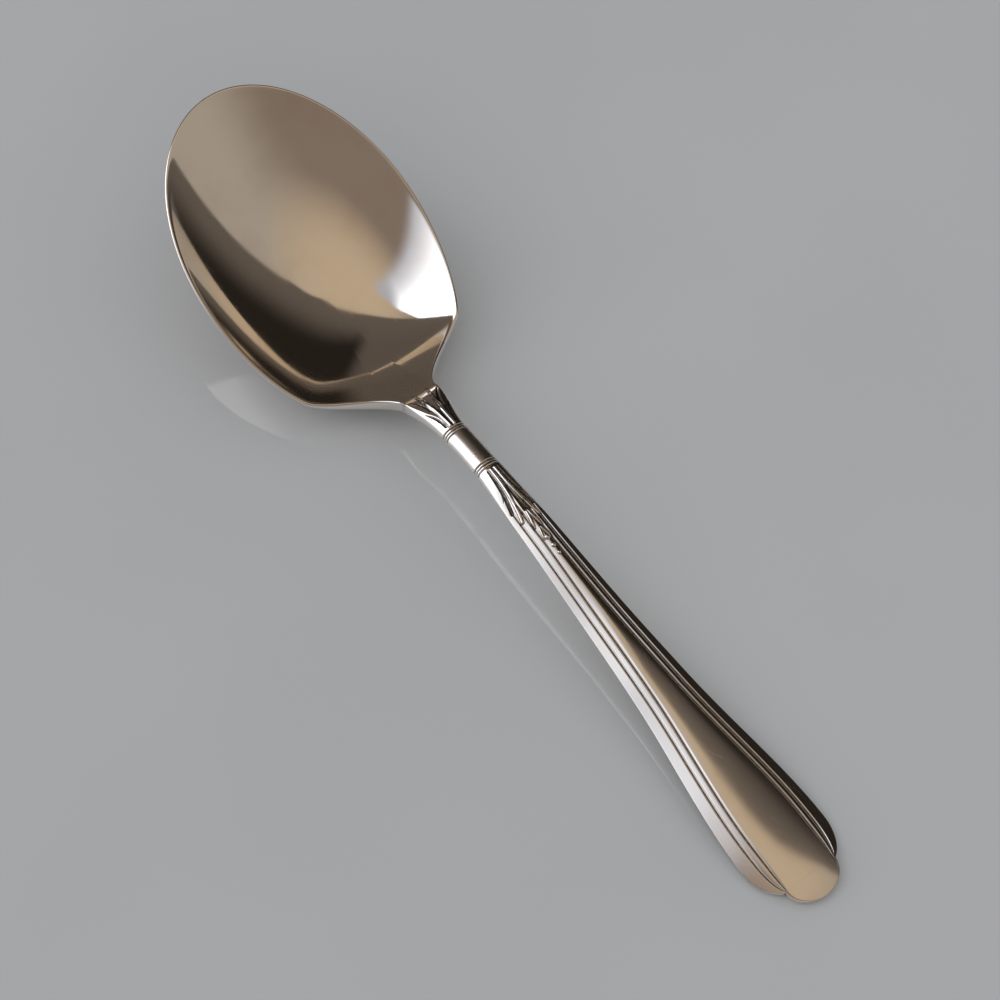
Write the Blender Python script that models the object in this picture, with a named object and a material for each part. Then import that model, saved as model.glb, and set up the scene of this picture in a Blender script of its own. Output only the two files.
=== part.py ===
"""Sugar spoon, in metres, +Z up.

A shouldered bowl, a round neck between two ring bands and a reeded handle lie on a table, with the
bowl towards -X and the handle towards +X. The neck's two spigots sit in sockets in the root of the
bowl and in the root of the handle. The origin is on the table, under the middle of the spoon.
"""

import math

import bmesh
import bpy

# Bowl in plan, from its centre
BOWL_FRONT = 0.0257
BOWL_BACK = 0.0290
BOWL_WIDTH = 0.0381
SHOULDER_BACK = 0.0193
HEEL_LENGTH = 0.0090
SHOULDER_LEAD = (0.0025, -0.0015)
ROOT_LEAD = (-0.0052, 0.0008)

# Bowl across its wall
BOWL_TILT = math.radians(22.8)
RIM_SWEEP = 0.7
BOWL_DEPTH = 0.0085
BOWL_WALL = 0.0011
DISH_POWER = 2.2
HEEL_POWER = 3.0
CROWN_POWER = 12.0
EDGE_POWER = 5.0
RIM_LIP = 0.0007
RIM_DROP = 0.0007
REST_CUT = 0.00020

# Root of the bowl, from the heel to the first ring band
ROOT_LENGTH = 0.0098
ROOT_WIDTH = 0.0062
ROOT_THICKNESS = 0.0030
ROOT_RISE = 0.0010
ROOT_SLOPE = 0.34
ROOT_SQUARENESS = 0.5

# Neck, between the ring bands
NECK_LENGTH = 0.0078
NECK_WIDTH = 0.0042
NECK_WAIST = 0.0037
NECK_THICKNESS = 0.0035
NECK_RISE = 0.0033
NECK_SLOPE = 0.13
NECK_FLARE = 0.055

# Spigots, sockets and ring lines at the two joints
CLEARANCE = 0.0003
SPIGOT_RADIUS = 0.0007
SPIGOT_LENGTH = 0.0036
RING_PITCH = 0.00065
RING_WIDTH = 0.00026
RING_DEPTH = 0.00016

# Handle in plan, from the second ring band
WAIST_AT = 0.0422
WAIST_WIDTH = 0.0092
WAIST_FLARE = 0.085
HIP_FROM_WAIST = 0.0270
HIP_WIDTH = 0.0147
CORNER_LENGTH = 0.0058
TONGUE_WIDTH = 0.0083
TONGUE_LENGTH = 0.0034
TIP_FLAT = 0.0008

# Handle in side view, from the first ring band
BEND_AT = 0.0380
BEND_HEIGHT = 0.0060
BEND_SLOPE = -0.118
TIP_SLOPE = -0.105
TIP_CUT = 0.00005
SLOPE_STEP = 0.0001

# Handle across its blade
BLADE_CROWN = 0.0010
BLADE_BACK = 0.0006
BLADE_EDGE = 0.0009
BLADE_FORMED = 0.0450
ROUND_EDGE = 0.0003
ROUND_ACROSS = 2.0
FLAT_ACROSS = 5.0
ROUND_POWER = 0.5
CROWN_END_POWER = 0.75
BACK_SHARES = (0.4, 0.75, 0.93, 1.0)
PANEL_SHARES = (0.65, 0.3)
BEVEL_AT_NECK = 0.0008
BEVEL_AT_HIP = 0.0017
REED_WIDTH = 0.0008
GROOVE_WIDTH = 0.00035
GROOVE_DEPTH = 0.00028
GROOVES_FROM = 0.0060
GROOVES_FULL = 0.0110
LEAST_PANEL = 0.0005
NOTCH_BORDER = 0.0003

# Facets
ROUND_SIDES = 22
DISH_RINGS = 9
HEEL_STEPS = 6
BACK_STEPS = 6
FRONT_STEPS = 10
ROOT_STEPS = 6
NECK_STEPS = 4
BLADE_STEPS = 26
CORNER_STEPS = 7
TONGUE_STEPS = 5

SILVER = (0.76, 0.73, 0.68, 1.0)
POLISH = 0.16
SHARP_ANGLE = math.radians(35)

# Places that follow from the sizes
ROOT_AT = SHOULDER_BACK + HEEL_LENGTH
JOINT_AT = ROOT_AT + ROOT_LENGTH
HIP_AT = WAIST_AT + HIP_FROM_WAIST
NOTCH_AT = HIP_AT + CORNER_LENGTH
HANDLE_LENGTH = NOTCH_AT + TONGUE_LENGTH
TOTAL_LENGTH = BOWL_FRONT + JOINT_AT + NECK_LENGTH + HANDLE_LENGTH
BOWL_X = BOWL_FRONT - TOTAL_LENGTH / 2
NECK_X = BOWL_X + JOINT_AT
HANDLE_X = NECK_X + NECK_LENGTH


def mix(start, end, share):
    """The value that lies a share of the way from start to end."""
    return start + (end - start) * share


def smooth(share):
    """A share, held from 0 to 1, that leaves and arrives level."""
    share = min(max(share, 0.0), 1.0)
    return share * share * (3 - 2 * share)


def hermite(share, start, start_slope, end, end_slope, run):
    """A cubic from start to end with the given slopes, over a run of that length."""
    square, cube = share**2, share**3
    ends = (2 * cube - 3 * square + 1) * start + (3 * square - 2 * cube) * end
    leads = (cube - 2 * square + share) * start_slope + (cube - square) * end_slope
    return ends + leads * run


def clear_scene():
    """Remove whatever the scene holds."""
    for thing in list(bpy.data.objects):
        bpy.data.objects.remove(thing, do_unlink=True)


def silver(name):
    """A polished silver material of this name."""
    material = bpy.data.materials.new(name)
    material.use_nodes = True
    shader = material.node_tree.nodes["Principled BSDF"]
    shader.inputs["Base Color"].default_value = SILVER
    shader.inputs["Metallic"].default_value = 1.0
    shader.inputs["Roughness"].default_value = POLISH
    return material


def finish(name, shape, location):
    """Turn a closed bmesh into a smooth-shaded object with its own material."""
    bmesh.ops.recalc_face_normals(shape, faces=shape.faces)
    mesh = bpy.data.meshes.new(name)
    shape.to_mesh(mesh)
    shape.free()
    mesh.shade_smooth()
    mesh.set_sharp_from_angle(angle=SHARP_ANGLE)
    mesh.materials.append(silver(name + "_silver"))
    thing = bpy.data.objects.new(name, mesh)
    thing.location = location
    bpy.context.scene.collection.objects.link(thing)


def bridge(shape, near, far):
    """Join two closed loops of as many vertices with a band of faces."""
    for index in range(len(near)):
        shape.faces.new((near[index - 1], near[index], far[index], far[index - 1]))


def loft(shape, loops):
    """Add loops of points, join each to the one before, and return their vertices."""
    rows = [[shape.verts.new(point) for point in loop] for loop in loops]
    for near, far in zip(rows, rows[1:]):
        bridge(shape, near, far)
    return rows


def round_loop(x, z, width, thickness, squareness=1.0):
    """A loop across the spoon at x: an oval, or boxier where squareness is below 1."""
    points = []
    for index in range(ROUND_SIDES):
        angle = 2 * math.pi * (index + 0.5) / ROUND_SIDES
        rise = math.copysign(abs(math.sin(angle)) ** squareness, math.sin(angle))
        points.append((x, math.cos(angle) * width / 2, z + rise * thickness / 2))
    return points


def ring_line(x):
    """The stations of one struck ring line at x, as (station, depth below the surface)."""
    half = RING_WIDTH / 2
    return [(x - RING_WIDTH, 0.0), (x - half, RING_DEPTH), (x + half, RING_DEPTH), (x + RING_WIDTH, 0.0)]


def rod_loops(radius, places):
    """Loops of a thin straight rod or hole whose axis passes through the places, each (x, height)."""
    return [round_loop(x, height, 2 * radius, 2 * radius) for x, height in places]


def rim_height(x):
    """The height of the rim at x, from the bowl's centre, with the tip held up."""
    return RIM_SWEEP * x**2 - math.tan(BOWL_TILT) * x


def root_height(x):
    """The height of the root's axis at x, between the heel and the first joint."""
    shoulder = rim_height(SHOULDER_BACK)
    share = (x - ROOT_AT) / ROOT_LENGTH
    return hermite(share, shoulder + ROOT_RISE, ROOT_SLOPE, shoulder + NECK_RISE, NECK_SLOPE, ROOT_LENGTH)


def root_section():
    """The loop where the heel becomes the root."""
    return round_loop(ROOT_AT, root_height(ROOT_AT), ROOT_WIDTH, ROOT_THICKNESS, ROOT_SQUARENESS)


def edge_height(x):
    """The height of the bowl's upper edge at x: the rim, then the heel's dip up to the root."""
    if x < SHOULDER_BACK:
        return rim_height(x)
    share = (x - SHOULDER_BACK) / HEEL_LENGTH
    start_slope = 2 * RIM_SWEEP * SHOULDER_BACK - math.tan(BOWL_TILT)
    root_side = root_section()[0][2]
    return hermite(share, rim_height(SHOULDER_BACK), start_slope, root_side, ROOT_SLOPE, HEEL_LENGTH)


def heel_curve(share):
    """The outline in plan on the +Y side, from the root at share 0 to the shoulder at 1."""
    shoulder = (SHOULDER_BACK, BOWL_WIDTH / 2 * math.sqrt(1 - (SHOULDER_BACK / BOWL_BACK) ** 2))
    _, side, _ = root_section()[0]
    root = (ROOT_AT, side)
    root_end = (root[0] + ROOT_LEAD[0], root[1] + ROOT_LEAD[1])
    shoulder_end = (shoulder[0] + SHOULDER_LEAD[0], shoulder[1] + SHOULDER_LEAD[1])
    rest = 1 - share
    weights = (rest**3, 3 * share * rest**2, 3 * share**2 * rest, share**3)
    places = (root, root_end, shoulder_end, shoulder)
    return [sum(weight * place[axis] for weight, place in zip(weights, places)) for axis in (0, 1)]


def side_rim():
    """The rim on the +Y side from the root to the tip.

    Each place is (x, y, crown over the upper edge, lower edge below the upper, width of the lip).
    """
    section = root_section()
    root_drop = section[0][2] - section[-1][2]
    places = []
    for step in range(1, HEEL_STEPS + 1):
        share = step / HEEL_STEPS
        x, y = heel_curve(share)
        places.append((x, y, 0.0, mix(root_drop, RIM_DROP, smooth(share)), RIM_LIP * share))
    first_angle = math.asin(SHOULDER_BACK / BOWL_BACK)
    for step in range(1, BACK_STEPS + 1):
        angle = first_angle * (1 - step / BACK_STEPS)
        x, y = BOWL_BACK * math.sin(angle), BOWL_WIDTH / 2 * math.cos(angle)
        places.append((x, y, 0.0, RIM_DROP, RIM_LIP))
    for step in range(1, FRONT_STEPS + 1):
        angle = math.pi / 2 * step / FRONT_STEPS
        x, y = -BOWL_FRONT * math.sin(angle), BOWL_WIDTH / 2 * math.cos(angle)
        places.append((x, y, 0.0, RIM_DROP, RIM_LIP))
    return places


def whole_rim():
    """The whole rim, counter-clockwise from above, with the root's section first."""
    half = ROUND_SIDES // 2
    section = root_section()
    side_top = section[0][2]
    root = []
    for (x, y, top), (_, _, low) in zip(reversed(section[:half]), section[half:]):
        root.append((x, y, top - side_top, side_top - low, 0.0))
    side = side_rim()
    mirrored = [(x, -y, *rest) for x, y, *rest in reversed(side[:-1])]
    return root + side + mirrored


def ring_place(place, share, lip):
    """Where a ring crosses the ray to a place on the rim: oval inside, like the outline further out."""
    x, y = place[:2]
    reach = math.hypot(x, y)
    length = BOWL_BACK if x > 0 else BOWL_FRONT
    oval = reach / math.hypot(x / length, y / (BOWL_WIDTH / 2))
    ring = (mix(oval, reach, share**HEEL_POWER) - lip) * share
    return x / reach * ring, y / reach * ring


def upper_point(place, share):
    """A point inside the bowl, a share of the way from its centre to a place on the rim."""
    _, _, crown, _, lip = place
    x, y = ring_place(place, share, lip)
    floor = edge_height(x) - BOWL_DEPTH * (1 - share**DISH_POWER)
    return (x, y, floor + crown * share**CROWN_POWER)


def lower_point(place, share):
    """A point of the underside, a share of the way from the centre to a place on the rim."""
    _, _, _, drop, _ = place
    x, y = ring_place(place, share, 0.0)
    under = edge_height(x) - (BOWL_DEPTH + BOWL_WALL) * (1 - share**DISH_POWER)
    return (x, y, under - drop * share**EDGE_POWER)


def dish_rings():
    """The upper and the lower surface of the bowl as rings of points, centre to rim."""
    rim = whole_rim()
    shares = [ring / DISH_RINGS for ring in range(1, DISH_RINGS + 1)]
    upper = [[upper_point(place, share) for place in rim] for share in shares]
    lower = [[lower_point(place, share) for place in rim] for share in shares]
    return upper, lower


def rim_lift():
    """The rim's height over the table at the bowl's centre, with the underside on the table."""
    _, lower = dish_rings()
    return -REST_CUT - min(z for ring in lower for _, _, z in ring)


def add_dish(shape, rings, centre):
    """Add one surface of the bowl and return the vertices of its rim."""
    rows = loft(shape, rings)
    middle = shape.verts.new((0, 0, centre))
    for index, vertex in enumerate(rows[0]):
        shape.faces.new((middle, rows[0][index - 1], vertex))
    return rows[-1]


def root_loops():
    """The root's sections from the heel to the first joint, then the socket for the spigot."""
    face = JOINT_AT - CLEARANCE / 2
    line = ring_line(JOINT_AT - RING_PITCH)
    steps = range(1, ROOT_STEPS + 1)
    places = [(mix(ROOT_AT, line[0][0], step / (ROOT_STEPS + 1)), 0.0) for step in steps]
    loops = []
    for x, cut in places + line + [(face, 0.0)]:
        share = smooth((x - ROOT_AT) / ROOT_LENGTH)
        width = mix(ROOT_WIDTH, NECK_WIDTH, share) - 2 * cut
        thickness = mix(ROOT_THICKNESS, NECK_THICKNESS, share) - 2 * cut
        squareness = mix(ROOT_SQUARENESS, 1.0, share)
        loops.append(round_loop(x, root_height(x), width, thickness, squareness))
    end = JOINT_AT - SPIGOT_LENGTH - CLEARANCE
    axis = [(x, root_height(JOINT_AT) + (x - JOINT_AT) * NECK_SLOPE) for x in (face, end)]
    return loops + rod_loops(SPIGOT_RADIUS + CLEARANCE, axis)


def make_bowl(lift):
    """The dished bowl with its root, one ring line, the socket and a small flat to rest on."""
    shape = bmesh.new()
    upper, lower = dish_rings()
    resting = [[(x, y, max(z, -lift)) for x, y, z in ring] for ring in lower]
    top = add_dish(shape, upper, -BOWL_DEPTH)
    bottom = add_dish(shape, resting, -BOWL_DEPTH - BOWL_WALL)
    half = ROUND_SIDES // 2
    for index in range(half - 1, len(top)):
        after = (index + 1) % len(top)
        shape.faces.new((top[index], bottom[index], bottom[after], top[after]))
    section = list(reversed(top[:half])) + bottom[:half]
    rows = loft(shape, root_loops())
    bridge(shape, section, rows[0])
    shape.faces.new(rows[-1])
    finish("bowl", shape, (BOWL_X, 0, lift))


def axis_height(x, joint):
    """The height of the neck and handle's axis at x from the first joint, whose height is joint."""
    if x < BEND_AT:
        return hermite(x / BEND_AT, joint, NECK_SLOPE, BEND_HEIGHT, BEND_SLOPE, BEND_AT)
    run = NECK_LENGTH + HANDLE_LENGTH - BEND_AT
    tip = BLADE_EDGE / 2 + BLADE_BACK - TIP_CUT
    return hermite((x - BEND_AT) / run, BEND_HEIGHT, BEND_SLOPE, tip, TIP_SLOPE, run)


def end_height(x, joint):
    """The height at x of the straight axis of the spigot and the socket at the second joint."""
    middle = axis_height(NECK_LENGTH, joint)
    slope = (axis_height(NECK_LENGTH + SLOPE_STEP, joint) - middle) / SLOPE_STEP
    return middle + (x - NECK_LENGTH) * slope


def make_neck(joint):
    """The round neck with a ring line and a spigot at each end."""
    shape = bmesh.new()
    start, end = CLEARANCE / 2, NECK_LENGTH - CLEARANCE / 2
    first, last = ring_line(RING_PITCH), ring_line(NECK_LENGTH - RING_PITCH)
    shank = [(mix(first[-1][0], last[0][0], step / NECK_STEPS), 0.0) for step in range(1, NECK_STEPS)]
    body = []
    for x, cut in [(start, 0.0)] + first + shank + last + [(end, 0.0)]:
        waist = (NECK_WIDTH - NECK_WAIST) * math.sin(math.pi * x / NECK_LENGTH) ** 2
        drawn_in = waist + 2 * cut
        height = axis_height(x, joint)
        body.append(round_loop(x, height, NECK_WIDTH - drawn_in, NECK_THICKNESS - drawn_in))
    front = [(x, joint + x * NECK_SLOPE) for x in (-SPIGOT_LENGTH, start)]
    back = [(x, end_height(x, joint)) for x in (end, NECK_LENGTH + SPIGOT_LENGTH)]
    rows = loft(shape, rod_loops(SPIGOT_RADIUS, front) + body + rod_loops(SPIGOT_RADIUS, back))
    shape.faces.new(rows[0])
    shape.faces.new(rows[-1])
    finish("neck", shape, (NECK_X, 0, 0))


def blade_half_width(x):
    """Half the handle's width at x from the second joint."""
    if x < WAIST_AT:
        return hermite(x / WAIST_AT, NECK_WIDTH / 2, NECK_FLARE, WAIST_WIDTH / 2, WAIST_FLARE, WAIST_AT)
    if x < HIP_AT:
        share = (x - WAIST_AT) / HIP_FROM_WAIST
        return hermite(share, WAIST_WIDTH / 2, WAIST_FLARE, HIP_WIDTH / 2, 0.0, HIP_FROM_WAIST)
    if x < NOTCH_AT:
        turn = math.sqrt(1 - ((x - HIP_AT) / CORNER_LENGTH) ** 2)
        return mix(TONGUE_WIDTH, HIP_WIDTH, turn) / 2
    turn = math.sqrt(max(0.0, 1 - ((x - NOTCH_AT) / TONGUE_LENGTH) ** 2))
    return max(TONGUE_WIDTH * turn, TIP_FLAT) / 2


def border_width(x):
    """The width of bevel, grooves and reed at x: full to the hip, then drawn in to the notch."""
    half = blade_half_width(x)
    reeds = REED_WIDTH + 2 * GROOVE_WIDTH
    if x < HIP_AT:
        return min(mix(BEVEL_AT_NECK, BEVEL_AT_HIP, x / HIP_AT) + reeds, half - LEAST_PANEL)
    if x < NOTCH_AT:
        hip_panel = HIP_WIDTH / 2 - BEVEL_AT_HIP - reeds
        panel = mix(hip_panel, TONGUE_WIDTH / 2 - NOTCH_BORDER, (x - HIP_AT) / CORNER_LENGTH)
        return half - panel
    return NOTCH_BORDER * half / (TONGUE_WIDTH / 2)


def top_stations(x):
    """The upper surface's stations from the edge to the middle, as (distance from axis, cut)."""
    half, border = blade_half_width(x), border_width(x)
    bevel = mix(BEVEL_AT_NECK, BEVEL_AT_HIP, min(x / HIP_AT, 1.0))
    full = bevel + REED_WIDTH + 2 * GROOVE_WIDTH
    depth = GROOVE_DEPTH * smooth((x - GROOVES_FROM) / (GROOVES_FULL - GROOVES_FROM)) * border / full
    groove = ((0.0, 0.0), (GROOVE_WIDTH / 2, depth), (GROOVE_WIDTH, 0.0))
    inner = bevel + GROOVE_WIDTH + REED_WIDTH
    lines = [(bevel / 2, 0.0)]
    lines += [(bevel + across, cut) for across, cut in groove]
    lines += [(bevel + GROOVE_WIDTH + REED_WIDTH / 2, 0.0)]
    lines += [(inner + across, cut) for across, cut in groove]
    stations = [(half - across * border / full, cut) for across, cut in lines]
    panel = half - border
    return [(half, 0.0)] + stations + [(panel * share, 0.0) for share in PANEL_SHARES]


def blade_loop(x, joint):
    """The handle's section at x from the second joint, round at the neck and bladed further on."""
    half = blade_half_width(x)
    formed = smooth(x / BLADE_FORMED)
    edge = mix(ROUND_EDGE, BLADE_EDGE, formed) / 2
    crown = mix(NECK_THICKNESS / 2 - ROUND_EDGE / 2, BLADE_CROWN, formed)
    back = mix(NECK_THICKNESS / 2 - ROUND_EDGE / 2, BLADE_BACK, formed)
    middle = axis_height(x + NECK_LENGTH, joint)
    top_power = mix(ROUND_POWER, CROWN_END_POWER, formed)
    back_power = mix(ROUND_ACROSS, FLAT_ACROSS, formed)

    def top(y):
        return middle + edge + crown * max(0.0, 1 - (y / half) ** ROUND_ACROSS) ** top_power

    def bottom(y):
        return max(middle - edge - back * (1 - (y / half) ** back_power) ** ROUND_POWER, 0.0)

    side = [(y, top(y) - cut) for y, cut in top_stations(x)]
    under = [(half * share, bottom(half * share)) for share in BACK_SHARES]
    crest = [(x, 0.0, top(0.0))]
    keel = [(x, 0.0, bottom(0.0))]
    right_top = [(x, y, z) for y, z in side]
    left_top = [(x, -y, z) for y, z in reversed(side)]
    left_under = [(x, -y, z) for y, z in reversed(under)]
    right_under = [(x, y, z) for y, z in under]
    return right_top + crest + left_top + left_under + keel + right_under


def scaled_loop(x, joint, cut):
    """The handle's section at x, drawn in by a cut all round towards its axis."""
    middle = axis_height(x + NECK_LENGTH, joint)
    share = 1 - 2 * cut / NECK_THICKNESS
    return [(x, y * share, middle + (z - middle) * share) for x, y, z in blade_loop(x, joint)]


def socket_loop(x, joint, like):
    """A round loop of the socket at x, with a vertex towards each point of a section."""
    height = end_height(x + NECK_LENGTH, joint)
    middle = axis_height(like[0][0] + NECK_LENGTH, joint)
    radius = SPIGOT_RADIUS + CLEARANCE
    points = []
    for _, y, z in like:
        reach = math.hypot(y, z - middle)
        points.append((x, y / reach * radius, height + (z - middle) / reach * radius))
    return points


def make_handle(joint):
    """The reeded handle with one ring line, the socket and the projecting tongue at its tip."""
    shape = bmesh.new()
    face, socket_end = CLEARANCE / 2, SPIGOT_LENGTH + CLEARANCE
    line = ring_line(RING_PITCH)
    blade = [mix(line[-1][0], HIP_AT, step / BLADE_STEPS) for step in range(1, BLADE_STEPS + 1)]
    corner = [math.sin(math.pi / 2 * step / CORNER_STEPS) for step in range(1, CORNER_STEPS)]
    tongue = [math.sin(math.pi / 2 * step / TONGUE_STEPS) for step in range(TONGUE_STEPS + 1)]
    stations = blade + [HIP_AT + CORNER_LENGTH * share for share in corner]
    stations += [NOTCH_AT + TONGUE_LENGTH * share for share in tongue]
    mouth = blade_loop(face, joint)
    socket = [socket_loop(socket_end, joint, mouth), socket_loop(face, joint, mouth)]
    root = [mouth] + [scaled_loop(x, joint, cut) for x, cut in line]
    rows = loft(shape, socket + root + [blade_loop(x, joint) for x in stations])
    shape.faces.new(rows[0])
    shape.faces.new(rows[-1])
    finish("handle", shape, (HANDLE_X, 0, 0))


def main():
    """Build the spoon's three pieces."""
    clear_scene()
    lift = rim_lift()
    joint = lift + root_height(JOINT_AT)
    make_bowl(lift)
    make_neck(joint)
    make_handle(joint)


main()
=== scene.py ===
"""Sugar spoon in polished silver: a shouldered bowl, a round neck and a reeded handle.

Sizes are in metres and angles in radians, unless a docstring says otherwise.
"""

import logging
import math
from collections.abc import Callable, Sequence
from dataclasses import dataclass, field, replace
from enum import Enum

import bmesh
import bpy
import numpy as np
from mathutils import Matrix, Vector


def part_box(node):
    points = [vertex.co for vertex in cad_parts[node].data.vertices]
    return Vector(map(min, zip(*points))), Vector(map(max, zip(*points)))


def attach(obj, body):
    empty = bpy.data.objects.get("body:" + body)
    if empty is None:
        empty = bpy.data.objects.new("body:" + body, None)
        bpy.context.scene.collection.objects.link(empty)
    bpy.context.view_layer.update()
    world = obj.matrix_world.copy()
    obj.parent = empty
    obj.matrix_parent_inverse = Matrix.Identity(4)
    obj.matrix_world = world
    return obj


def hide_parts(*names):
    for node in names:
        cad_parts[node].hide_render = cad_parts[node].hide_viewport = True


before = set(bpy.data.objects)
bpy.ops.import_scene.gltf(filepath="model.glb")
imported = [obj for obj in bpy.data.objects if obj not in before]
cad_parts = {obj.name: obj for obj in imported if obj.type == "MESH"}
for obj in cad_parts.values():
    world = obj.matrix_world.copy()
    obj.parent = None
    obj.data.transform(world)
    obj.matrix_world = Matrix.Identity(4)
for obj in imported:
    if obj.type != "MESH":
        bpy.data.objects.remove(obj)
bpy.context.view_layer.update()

LOG = logging.getLogger("sugar_spoon")

Point = tuple[float, float, float]
Plan = tuple[float, float]
Ring = list[Point]

BODY = "root"
SPOT = "spot"
ROW = "row"
HOLLOW = "hollow"
WEAR = "wear"
MILLIMETRES = 1000.0
QUARTER_TURN = math.pi / 2
NECK_WIDTH = 0.0042
NECK_THICKNESS = 0.0035
NECK_SLOPE = 0.13


def mix(start: float, end: float, share: float) -> float:
    """The value that lies a share of the way from start to end."""
    return start + (end - start) * share


def smooth(share: float) -> float:
    """A share, held from 0 to 1, that leaves and arrives level."""
    share = min(max(share, 0.0), 1.0)
    return share * share * (3 - 2 * share)


def ramped(value: float, ends: Plan) -> float:
    """How far a value has gone from one end of a range to the other, smoothly."""
    return smooth((value - ends[0]) / (ends[1] - ends[0]))


def between(start: float, end: float, steps: int) -> list[float]:
    """Evenly spaced places after start, up to and with end."""
    return [mix(start, end, step / steps) for step in range(1, steps + 1)]


def eased(start: float, run: float, steps: int) -> list[float]:
    """Places after start, over a run, that come closer together towards its end."""
    return [start + run * math.sin(QUARTER_TURN * share) for share in between(0, 1, steps)]


def weigh(weights: Sequence[float], points: Sequence[Plan]) -> Plan:
    """The point in plan that points pull to, each by its weight."""
    x, y = (sum(w * point[axis] for w, point in zip(weights, points)) for axis in (0, 1))
    return x, y


def ridge_fall(out: float, softness: float) -> float:
    """How far a ridge with a rounded top and a slope of 1 has fallen at a distance from it."""
    return math.hypot(out, softness) - softness


@dataclass(frozen=True)
class Sweep:
    """A cubic line from one height and slope to another, over a run."""

    start: float
    start_slope: float
    end: float
    end_slope: float
    run: float

    def at(self, place: float) -> float:
        """Follow the line to a place.

        Args:
            place: Distance from the start of the run.

        Returns:
            The height there.
        """
        share = place / self.run
        square, cube = share**2, share**3
        ends = (2 * cube - 3 * square + 1) * self.start + (3 * square - 2 * cube) * self.end
        leads = (cube - 2 * square + share) * self.start_slope + (cube - square) * self.end_slope
        return ends + leads * self.run


class Cage:
    """A coarse mesh that grows from a circle, one extruded ring at a time, in edit mode."""

    circle = 1.0

    def __init__(self, name: str, ring: Ring, centre: Point | None = None) -> None:
        """Add a circle and move its vertices to the first ring.

        Args:
            name: Name of the piece.
            ring: Points of the first ring, in order.
            centre: Middle of the fan that fills the first ring, or None for a flat cap.
        """
        bpy.ops.object.select_all(action="DESELECT")
        fill = "NGON" if centre is None else "TRIFAN"
        bpy.ops.mesh.primitive_circle_add(vertices=len(ring), radius=self.circle, fill_type=fill)
        self.piece = bpy.context.object
        self.piece.name = self.piece.data.name = name
        self.row = 0
        bpy.ops.object.mode_set(mode="EDIT")
        bpy.ops.mesh.select_mode(type="EDGE")
        shape = self.shape()
        shape.verts.layers.int.new(SPOT)
        shape.verts.layers.int.new(ROW)
        spot = shape.verts.layers.int[SPOT]
        around = [vertex for vertex in shape.verts if vertex.co.length > self.circle / 2]
        around.sort(key=lambda vertex: math.atan2(vertex.co.y, vertex.co.x))
        for vertex in shape.verts:
            vertex.co = centre or (0.0, 0.0, 0.0)
        for index, vertex in enumerate(around):
            vertex[spot] = index
            vertex.co = ring[index]
        self.choose_open_edges()

    def shape(self) -> bmesh.types.BMesh:
        """The mesh that is being edited."""
        return bmesh.from_edit_mesh(self.piece.data)

    def choose_open_edges(self) -> None:
        """Select the edges that have a face on one side only."""
        shape = self.shape()
        bpy.ops.mesh.select_all(action="DESELECT")
        for edge in shape.edges:
            if len(edge.link_faces) == 1:
                edge.select_set(True)
        bmesh.update_edit_mesh(self.piece.data)

    def extrude(self, place: Callable[[int, int], Point]) -> None:
        """Extrude the selected ring and put its new vertices in place.

        Args:
            place: Gives a new vertex its point, from the row and the spot that it grew from.
        """
        bpy.ops.mesh.extrude_region()
        self.row += 1
        shape = self.shape()
        spot, row = shape.verts.layers.int[SPOT], shape.verts.layers.int[ROW]
        for vertex in shape.verts:
            if vertex.select:
                vertex.co = place(vertex[row], vertex[spot])
        bmesh.update_edit_mesh(self.piece.data)

    def number_row(self) -> None:
        """Write the row's number on the selected vertices."""
        shape = self.shape()
        row = shape.verts.layers.int[ROW]
        for vertex in shape.verts:
            if vertex.select:
                vertex[row] = self.row
        bmesh.update_edit_mesh(self.piece.data)

    def add_rings(self, rings: list[Ring]) -> None:
        """Extrude the last ring through the points of the next ones.

        Args:
            rings: The rings to come, each with as many points as the first.
        """
        for ring in rings:
            self.extrude(lambda _, spot, ring=ring: ring[spot])
            self.number_row()

    def close_to_point(self) -> None:
        """Close the last ring with a pole."""
        bpy.ops.mesh.extrude_region()
        bpy.ops.mesh.merge(type="CENTER")

    def close_flat(self) -> None:
        """Close the last ring with a flat cap."""
        bpy.ops.mesh.edge_face_add()

    def open_band(self, rows: range, spots: range) -> None:
        """Delete a patch of faces and select the edges of the opening.

        Args:
            rows: The rows that all corners of a deleted face lie in.
            spots: The spots that they lie in.
        """
        shape = self.shape()
        spot, row = shape.verts.layers.int[SPOT], shape.verts.layers.int[ROW]
        bpy.ops.mesh.select_mode(type="FACE")
        bpy.ops.mesh.select_all(action="DESELECT")
        for face in shape.faces:
            if all(corner[row] in rows and corner[spot] in spots for corner in face.verts):
                face.select_set(True)
        bmesh.update_edit_mesh(self.piece.data)
        bpy.ops.mesh.delete(type="FACE")
        bpy.ops.mesh.select_mode(type="EDGE")
        self.choose_open_edges()

    def finish(self, levels: int) -> bpy.types.Object:
        """Round the cage with a subdivision surface.

        Args:
            levels: How often each face of the cage is divided.

        Returns:
            The smooth-shaded piece, at the origin.
        """
        bpy.ops.mesh.select_all(action="SELECT")
        bpy.ops.mesh.normals_make_consistent(inside=False)
        bpy.ops.object.mode_set(mode="OBJECT")
        attributes = self.piece.data.attributes
        for name in (SPOT, ROW):
            attributes.remove(attributes[name])
        rounding = self.piece.modifiers.new("rounding", "SUBSURF")
        rounding.levels = rounding.render_levels = levels
        bpy.ops.object.modifier_apply(modifier=rounding.name)
        bpy.ops.object.shade_smooth()
        return self.piece


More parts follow.
